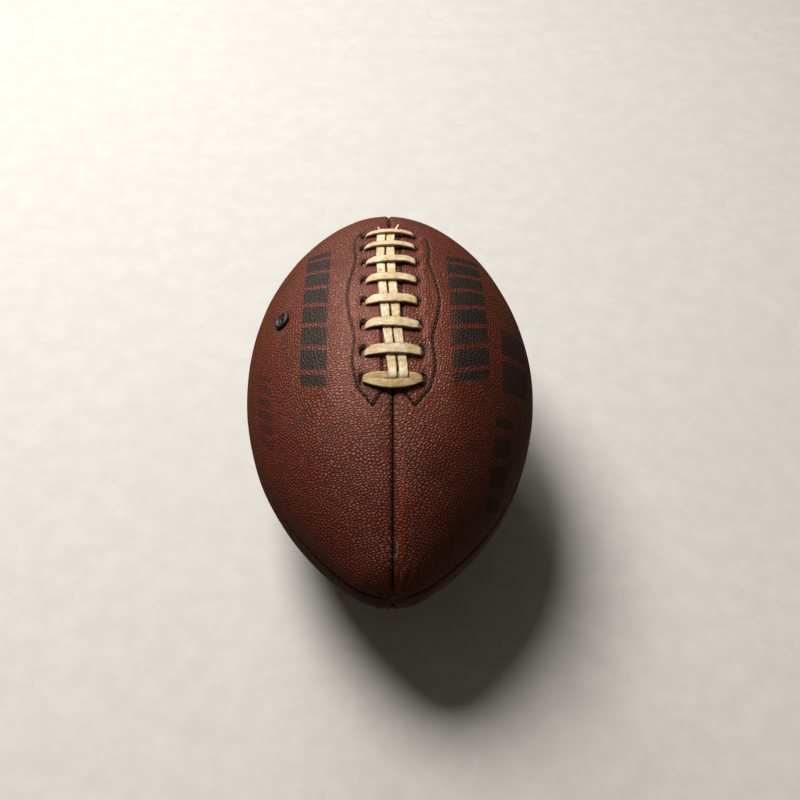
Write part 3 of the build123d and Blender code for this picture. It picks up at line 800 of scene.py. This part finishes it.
# -------------------------------- materials
class Finish:
    """A new material with a Principled shader, and short ways to add nodes to it."""

    def __init__(self, name, **shader_values):
        self.material = bpy.data.materials.new(name)
        self.material.use_nodes = True
        self.nodes = self.material.node_tree.nodes
        self.links = self.material.node_tree.links
        self.shader = self.fill(self.nodes["Principled BSDF"], **shader_values)

    def put(self, socket, value):
        """Link a socket to another, or set its value."""
        if isinstance(value, bpy.types.NodeSocket):
            self.links.new(value, socket)
        else:
            socket.default_value = value

    def fill(self, node, **values):
        """Set or link a node's inputs; a space in an input's label is written as _."""
        for label, value in values.items():
            self.put(node.inputs[label.replace("_", " ")], value)
        return node

    def attribute(self, name):
        """A vector kept at a mesh's vertices."""
        node = self.nodes.new("ShaderNodeAttribute")
        node.attribute_name = name
        return node.outputs["Vector"]

    def object_place(self):
        """The place on the object, in metres."""
        return self.nodes.new("ShaderNodeTexCoord").outputs["Object"]

    def parts(self, vector):
        """The three numbers of a vector."""
        node = self.nodes.new("ShaderNodeSeparateXYZ")
        self.put(node.inputs[0], vector)
        return node.outputs

    def math(self, operation, first, second=0.0, third=0.0):
        node = self.nodes.new("ShaderNodeMath")
        node.operation = operation
        for socket, value in zip(node.inputs, (first, second, third)):
            self.put(socket, value)
        return node.outputs[0]

    def vector(self, operation, first, second=(0, 0, 0)):
        node = self.nodes.new("ShaderNodeVectorMath")
        node.operation = operation
        self.put(node.inputs[0], first)
        if operation == "SCALE":
            self.put(node.inputs["Scale"], second)
        else:
            self.put(node.inputs[1], second)
        return node.outputs[0]

    def noise(self, vector, scale, detail=2.0, roughness=0.5, colour=False):
        node = self.nodes.new("ShaderNodeTexNoise")
        self.fill(node, Vector=vector, Scale=scale, Detail=detail, Roughness=roughness)
        return node.outputs["Color" if colour else "Fac"]

    def scatter(self, vector, scale, reach, detail=1.0, roughness=0.5):
        """A shift that varies at random over the surface, up to half of reach each way."""
        noise = self.noise(vector, scale, detail, roughness, colour=True)
        return self.vector("SCALE", self.vector("SUBTRACT", noise, (0.5, 0.5, 0.5)), reach)

    def cell_edges(self, vector, scale, randomness):
        """The distance to the nearest edge in a flat pattern of cells."""
        node = self.nodes.new("ShaderNodeTexVoronoi")
        node.voronoi_dimensions = "2D"
        node.feature = "DISTANCE_TO_EDGE"
        self.fill(node, Vector=vector, Scale=scale, Randomness=randomness)
        return node.outputs["Distance"]

    def between(self, value, start, end, low=0.0, high=1.0):
        """Smooth step: low before start, high after end."""
        node = self.nodes.new("ShaderNodeMapRange")
        node.interpolation_type = "SMOOTHSTEP"
        self.fill(node, Value=value, From_Min=start, From_Max=end, To_Min=low, To_Max=high)
        return node.outputs["Result"]

    def blend(self, share, first, second):
        """Mix two colours."""
        node = self.nodes.new("ShaderNodeMix")
        node.data_type = "RGBA"
        self.put(node.inputs[0], share)
        self.put(node.inputs[6], self.colour(first))
        self.put(node.inputs[7], self.colour(second))
        return node.outputs[2]

    @staticmethod
    def colour(value):
        """A socket as it is, or an RGB colour with an alpha of 1."""
        return value if isinstance(value, bpy.types.NodeSocket) else (*value, 1.0)

    def relief(self, height, depth, normal=None):
        """Bump from a height that runs 0 to 1 over a depth in mm."""
        node = self.nodes.new("ShaderNodeBump")
        self.fill(node, Strength=1.0, Distance=depth * MM, Height=height)
        if normal is not None:
            self.put(node.inputs["Normal"], normal)
        return node.outputs[0]

    def finish(self, colour, roughness, normal):
        """Connect the shader, and give the finished material."""
        self.fill(self.shader, Base_Color=self.colour(colour), Roughness=roughness, Normal=normal)
        return self.material


PEBBLE_SIZE = 1.9             # mm from one grain of the leather to the next
PEBBLE_RELIEF = 0.29
CREASE_RELIEF = 0.12
FINE_RELIEF = 0.02
LEATHER_DEEP = (0.050, 0.0085, 0.0030)
LEATHER_BASE = (0.186, 0.027, 0.0145)
LEATHER_TOP = (0.285, 0.066, 0.040)
LEATHER_WARM = (0.172, 0.032, 0.0085)
LEATHER_RUBBED = (0.42, 0.045, 0.022)
LEATHER_DARK = (0.035, 0.014, 0.006)
# a painted sheen: lighter colour beside the near laces, standing in for light there
LEATHER_PAINTED_SHEEN = (0.38, 0.13, 0.085)
PAINTED_SHEEN_SHARE = 0.19
GRIP_ALONG = -34.0            # the middle of the handled stretch of the laces
# dark colour for dirt and painted shade in seams, stitch lines and holes
GRIME_AND_SHADE_COLOUR = (0.010, 0.006, 0.004)
PRINT_BLACK = (0.010, 0.009, 0.008)
PRINTS = (
    # strength, middle across, half width, start and end along, slant, pitch, black share of the pitch
    (1.00, -44.5, 8.5, -52, 55, 0.45, 15.2, 0.80),
    (1.00, 45.5, 12.5, -48, 50, -0.5, 13.9, 0.78),
    (0.50, -65.5, 3.0, -28, -10, 0.3, 4.2, 0.55),
    (0.55, -86.0, 8.0, -68, -24, 0.8, 7.6, 0.60),
    (0.75, 84.0, 15.0, -38, 8, -0.4, 23.0, 0.80),
    (0.65, 72.0, 9.0, -104, -58, -0.4, 15.0, 0.70),
)


def printed_bars(paint, place, centre, half_width, start, end, slant, pitch, share):
    """Mask of a row of slanted bars stamped on the leather."""
    along, across = place
    off = paint.math("SUBTRACT", across, centre)
    lean = paint.math("MULTIPLY_ADD", off, slant, along)
    turn = paint.math("FRACT", paint.math("DIVIDE", paint.math("ADD", lean, 500.0), pitch))
    from_middle = paint.math("ABSOLUTE", paint.math("SUBTRACT", turn, 0.5))
    bar = paint.between(from_middle, share / 2 + 0.03, share / 2 - 0.03)
    in_width = paint.between(paint.math("ABSOLUTE", off), half_width + 0.5, half_width - 0.5)
    in_start = paint.between(lean, start - 0.5, start + 0.5)
    in_end = paint.between(lean, end + 0.5, end - 0.5)
    mask = paint.math("MULTIPLY", bar, in_width)
    return paint.math("MULTIPLY", mask, paint.math("MULTIPLY", in_start, in_end))


def leather_finish():
    """Pebbled, tanned and much handled leather with worn printed bars, a painted sheen beside the laces,
    and dirt and painted shade in its seams and holes.
    """
    paint = Finish("panel_leather", Specular_IOR_Level=0.45, Specular_Tint=(1.0, 0.80, 0.73, 1.0))
    hide = paint.attribute("hide")
    along, across, _ = paint.parts(paint.attribute("place"))
    dirt_and_shade, rub, hole_shade = paint.parts(paint.attribute("wear_and_shade"))

    # grain: rounded pebbles in wavy rows
    moved = paint.vector("ADD", hide, paint.scatter(hide, 0.045, 7.0))
    moved = paint.vector("ADD", moved, paint.scatter(hide, 0.6, 0.9))
    stretched = paint.vector("MULTIPLY", moved, (1.18, 0.95, 1.0))
    edge = paint.cell_edges(stretched, 1 / PEBBLE_SIZE, 0.8)
    pebble = paint.between(edge, 0.0, 0.42)
    fine = paint.noise(hide, 2.2, 3.0, 0.6)
    crease = paint.noise(paint.vector("MULTIPLY", hide, (0.5, 1.2, 1.0)), 0.35, 3.0, 0.6)

    # colour
    patches = paint.noise(hide, 0.022, 4.0, 0.6)
    mottle = paint.noise(hide, 0.16, 3.0, 0.6)
    tone = paint.blend(paint.between(patches, 0.36, 0.64), LEATHER_BASE, LEATHER_WARM)
    shade = paint.blend(paint.between(mottle, 0.3, 0.75, 0.0, 0.55), tone, LEATHER_DARK)
    grain_top = paint.blend(paint.between(pebble, 0.55, 1.0, 0.0, 0.45), shade, LEATHER_TOP)
    colour = paint.blend(paint.between(pebble, 0.0, 0.45), LEATHER_DEEP, grain_top)
    worn = paint.math("MULTIPLY", rub, paint.between(paint.noise(hide, 0.5, 3.0, 0.7), 0.36, 0.56))
    colour = paint.blend(worn, colour, LEATHER_RUBBED)

    # worn print
    shift_along, shift_across, _ = paint.parts(paint.scatter(hide, 0.45, 2.2, 3.0, 0.7))
    place = (paint.math("ADD", along, shift_along), paint.math("ADD", across, shift_across))
    printed = 0.0
    for strength, *layout in PRINTS:
        bars = paint.math("MULTIPLY", printed_bars(paint, place, *layout), strength)
        printed = paint.math("MAXIMUM", printed, bars)
    kept = paint.between(paint.noise(hide, 0.28, 4.0, 0.75), 0.30, 0.44, 0.68, 0.99)
    printed = paint.math("MULTIPLY", printed, kept)
    colour = paint.blend(printed, colour, PRINT_BLACK)

    # hands polish the leather beside the near laces; the lighter colour there is a painted sheen
    beside = paint.between(paint.math("ABSOLUTE", across), 42, 24)
    from_grip = paint.math("ABSOLUTE", paint.math("SUBTRACT", along, GRIP_ALONG))
    along_laces = paint.between(from_grip, 66, 22)
    polish_and_painted_sheen = paint.math("MULTIPLY", beside, along_laces)
    colour = paint.blend(paint.math("MULTIPLY", polish_and_painted_sheen, PAINTED_SHEEN_SHARE), colour, LEATHER_PAINTED_SHEEN)

    # dirt and painted shade in seams, stitch lines and round the valve, and painted shade inside the holes
    smudge = paint.between(paint.noise(hide, 0.035, 5.0, 0.65), 0.54, 0.70, 0.0, 0.55)
    colour = paint.blend(smudge, colour, LEATHER_DARK)
    soil_and_shade = paint.math("MAXIMUM", dirt_and_shade, hole_shade)
    colour = paint.blend(soil_and_shade, colour, GRIME_AND_SHADE_COLOUR)

    rough = paint.between(mottle, 0.3, 0.7, 0.43, 0.54)
    rough = paint.math("ADD", rough, paint.between(fine, 0.3, 0.7, -0.03, 0.05))
    rough = paint.math("MULTIPLY_ADD", soil_and_shade, 0.35, rough)
    rough = paint.math("MULTIPLY_ADD", printed, 0.14, rough)
    rough = paint.math("MULTIPLY_ADD", polish_and_painted_sheen, -0.13, rough)
    normal = paint.relief(pebble, PEBBLE_RELIEF)
    normal = paint.relief(crease, CREASE_RELIEF, normal)
    normal = paint.relief(fine, FINE_RELIEF, normal)
    return paint.finish(colour, rough, normal)


LACE_CREAM = (0.66, 0.51, 0.26)
LACE_WHITE = (0.84, 0.75, 0.54)
LACE_YELLOWED = (0.36, 0.22, 0.040)
LACE_STREAK = (0.36, 0.22, 0.08)
LACE_EDGE = (0.15, 0.08, 0.027)
# painted shade where the lace goes down into the holes and the slit
LACE_PAINTED_SHADE = (0.12, 0.065, 0.025)
LACE_CRACK = (0.10, 0.055, 0.02)
LACE_SPECK = (0.16, 0.10, 0.05)


def lace_finish():
    """Flat off-white lace, yellowed, with cracks along its length, grubby edges, and painted shade where
    it goes down under the leather.
    """
    paint = Finish("lace_hide", Specular_IOR_Level=0.45)
    grain = paint.attribute("grain")
    streaks = paint.noise(paint.vector("MULTIPLY", grain, (0.16, 1.3, 1.0)), 1.0, 4.0, 0.65)
    patches = paint.noise(grain, 0.09, 3.0, 0.6)
    cracks = paint.noise(paint.vector("MULTIPLY", grain, (0.35, 2.6, 1.0)), 0.9, 5.0, 0.75)
    crack = paint.between(cracks, 0.61, 0.66)
    edge, age, sunk_shade = paint.parts(paint.attribute("rim"))
    colour = paint.blend(paint.between(patches, 0.35, 0.65), LACE_CREAM, LACE_WHITE)
    yellowed = paint.math("MULTIPLY", age, paint.between(patches, 0.25, 0.6, 1.0, 0.7))
    colour = paint.blend(yellowed, colour, LACE_YELLOWED)
    colour = paint.blend(paint.between(streaks, 0.42, 0.75, 0.0, 0.6), colour, LACE_STREAK)
    ragged = paint.math("MULTIPLY_ADD", streaks, 0.45, edge)
    colour = paint.blend(paint.between(ragged, 0.93, 1.15, 0.0, 0.88), colour, LACE_EDGE)
    # painted shade where the lace goes down below the leather
    colour = paint.blend(paint.math("MULTIPLY", sunk_shade, 0.7), colour, LACE_PAINTED_SHADE)
    colour = paint.blend(paint.math("MULTIPLY", crack, 0.9), colour, LACE_CRACK)
    speck = paint.between(paint.noise(grain, 1.8, 2.0, 0.6), 0.66, 0.74, 0.0, 0.5)
    colour = paint.blend(speck, colour, LACE_SPECK)
    rough = paint.between(streaks, 0.3, 0.7, 0.48, 0.66)
    normal = paint.relief(streaks, 0.16)
    normal = paint.relief(paint.math("SUBTRACT", 1.0, crack), 0.14, normal)
    return paint.finish(colour, rough, normal)


def woven_finish(name, first, second, pitch):
    """A plain cloth: crossing threads at a pitch in mm, with slubs."""
    paint = Finish(name, Specular_IOR_Level=0.25)
    place = paint.object_place()
    x, y, z = paint.parts(paint.vector("SCALE", place, 2 * pi / (pitch * MM)))
    warp = paint.math("SINE", paint.math("ADD", x, z))
    weft = paint.math("SINE", y)
    weave = paint.math("MULTIPLY_ADD", paint.math("MULTIPLY", warp, weft), 0.5, 0.5)
    slub = paint.noise(place, 900.0, 3.0, 0.6)
    colour = paint.blend(weave, first, second)
    colour = paint.blend(paint.between(slub, 0.4, 0.7, 0.0, 0.4), colour, first)
    return paint.finish(colour, paint.between(slub, 0.3, 0.7, 0.75, 0.9), paint.relief(weave, 0.15))


def fibrous_finish(name, dark, light, scale, roughness, depth, specular):
    """A mottled surface with fine relief: thread, rubber or suede by its colours and scale.

    scale is how many mottles lie in a metre, and depth is that of the relief in mm.
    """
    paint = Finish(name, Specular_IOR_Level=specular)
    place = paint.object_place()
    fine = paint.noise(place, scale, 4.0, 0.65)
    broad = paint.noise(place, scale * 0.12, 3.0, 0.6)
    colour = paint.blend(paint.between(fine, 0.35, 0.68), dark, light)
    colour = paint.blend(paint.between(broad, 0.45, 0.7, 0.0, 0.45), colour, dark)
    rough = paint.between(fine, 0.3, 0.7, roughness - 0.06, roughness + 0.08)
    return paint.finish(colour, rough, paint.relief(fine, depth))


PLAIN_FINISHES = {
    # name: dark, light, scale, roughness, depth, specular
    "waxed_black_thread": ((0.006, 0.005, 0.005), (0.017, 0.014, 0.012), 2200.0, 0.6, 0.05, 0.4),
    "valve_black_rubber": ((0.010, 0.009, 0.008), (0.045, 0.040, 0.034), 1500.0, 0.42, 0.03, 0.5),
    "pale_fibre": ((0.30, 0.18, 0.11), (0.55, 0.42, 0.30), 2500.0, 0.7, 0.02, 0.4),
    "facing_suede": ((0.16, 0.075, 0.04), (0.30, 0.16, 0.09), 1400.0, 0.8, 0.08, 0.2),
    "linen_seam_thread": ((0.20, 0.15, 0.09), (0.46, 0.38, 0.26), 2600.0, 0.7, 0.06, 0.4),
    "tongue_felt": ((0.030, 0.022, 0.018), (0.10, 0.075, 0.055), 1100.0, 0.85, 0.08, 0.2),
    "bladder_rubber": ((0.012, 0.012, 0.013), (0.040, 0.040, 0.042), 500.0, 0.4, 0.04, 0.5),
    "patch_rubber": ((0.020, 0.018, 0.016), (0.060, 0.055, 0.050), 700.0, 0.5, 0.05, 0.5),
    "pale_floor": ((0.60, 0.60, 0.59), (0.64, 0.64, 0.63), 60.0, 0.9, 0.01, 0.1),
}
plain = {name: fibrous_finish(name, *values) for name, values in PLAIN_FINISHES.items()}


def dress(piece, material):
    """Give a new piece one material."""
    piece.data.materials.clear()
    piece.data.materials.append(material)


def dress_node(name, material):
    """Give a CAD node's object one material."""
    for slot in bpy.data.objects[name].material_slots:
        slot.material = material


# -------------------------------- the pieces
PANELS = (
    ("left_lace_panel", -1, 1),
    ("right_lace_panel", 1, 1),
    ("left_base_panel", -1, -1),
    ("right_base_panel", 1, -1),
)
leather = leather_finish()
for number, (node, side_x, side_z) in enumerate(PANELS):
    panel = make_panel(node.replace("_panel", "_leather"), side_x, side_z, number)
    dress(panel, leather)
    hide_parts(node)

lace = make_lace()
dress(lace, lace_finish())
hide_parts("lace")

for label, side in (("left", -1), ("right", 1)):
    stitches = make_facing_stitches(f"{label}_facing_stitches", side)
    dress(stitches, plain["waxed_black_thread"])
    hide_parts(f"{label}_facing_stitching")

valve = make_valve()
dress(valve, plain["valve_black_rubber"])
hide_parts("valve_core")

fibres = make_fibres()
dress(fibres, plain["pale_fibre"])

lining = woven_finish("cotton_lining", first=(0.34, 0.31, 0.25), second=(0.62, 0.58, 0.48), pitch=1.1)
for node, _, _ in PANELS:
    dress_node(node.replace("_panel", "_lining"), lining)
for finish, nodes in (
    ("facing_suede", ("left_lace_facing", "right_lace_facing")),
    ("linen_seam_thread", [f"{label}_seam_thread" for label in ("top", "left", "right", "bottom")]),
    ("tongue_felt", ["lace_tongue"]),
    ("bladder_rubber", ["bladder"]),
    ("patch_rubber", ["valve_patch"]),
    ("valve_black_rubber", ["valve_housing"]),
):
    for node in nodes:
        dress_node(node, plain[finish])

# -------------------------------- floor, light and camera
FLOOR_HALF = 3.0              # metres, as all places and sizes from here on
floor_height = CAD_BOUNDS[0].z
corners = [(x * FLOOR_HALF, y * FLOOR_HALF, floor_height) for x, y in ((-1, -1), (1, -1), (1, 1), (-1, 1))]
floor_mesh = bpy.data.meshes.new("floor")
floor_mesh.from_pydata(corners, [], [(0, 1, 2, 3)])
floor = bpy.data.objects.new("floor", floor_mesh)
bpy.context.scene.collection.objects.link(floor)
dress(floor, plain["pale_floor"])
# the floor neither reflects in the ball nor lights it
floor.visible_glossy = False
floor.visible_diffuse = False


LIGHT_SIZE = 0.7


def add_area_light(name, location, power, colour):
    """A round soft light aimed at the ball."""
    data = bpy.data.lights.new(name, "AREA")
    data.shape = "DISK"
    data.size = LIGHT_SIZE
    data.energy = power
    data.color = colour
    light = bpy.data.objects.new(name, data)
    light.location = location
    light.rotation_euler = (-Vector(location)).to_track_quat("-Z", "Y").to_euler()
    bpy.context.scene.collection.objects.link(light)


add_area_light("key_light", location=(-0.50, 0.45, 1.25), power=25.0, colour=(1.0, 0.95, 0.88))
add_area_light("back_light", location=(-0.50, 1.36, 0.92), power=11.0, colour=(1.0, 0.96, 0.91))

STUDIO_COLOUR = (0.90, 0.82, 0.70, 1.0)
STUDIO_STRENGTH = 0.088
world = bpy.data.worlds.new("studio")
world.use_nodes = True
background = world.node_tree.nodes["Background"]
background.inputs["Color"].default_value = STUDIO_COLOUR
background.inputs["Strength"].default_value = STUDIO_STRENGTH
bpy.context.scene.world = world

CAMERA_DISTANCE = 0.6877
CAMERA_ELEVATION = radians(49.0)
CAMERA_ROLL = -0.0232
CAMERA_LENS = 51.2            # mm
SENSOR_WIDTH = 36.0           # mm
BALL_ROLL = radians(-2.0)     # the ball is rolled a little about its long axis, seen from the camera
AIM_RIGHT = 0.0062            # the ball sits a little left of and above the picture's middle
AIM_UP = -0.0033

camera_data = bpy.data.cameras.new("camera")
camera_data.lens = CAMERA_LENS
camera_data.sensor_width = SENSOR_WIDTH
camera_data.clip_start = 0.01
camera = bpy.data.objects.new("camera", camera_data)
bpy.context.scene.collection.objects.link(camera)
back = Vector((0, -cos(CAMERA_ELEVATION), sin(CAMERA_ELEVATION)))
facing = back.to_track_quat("Z", "Y").to_matrix()
right, up = facing.col[0], facing.col[1]
aim = right * AIM_RIGHT + up * AIM_UP
turned = facing @ Matrix.Rotation(CAMERA_ROLL, 3, "Z")
level_view = Matrix.Translation(aim + back * CAMERA_DISTANCE) @ turned.to_4x4()
camera.matrix_world = Matrix.Rotation(BALL_ROLL, 4, "Y") @ level_view
bpy.context.scene.camera = camera
bpy.context.scene.view_settings.view_transform = "Standard"
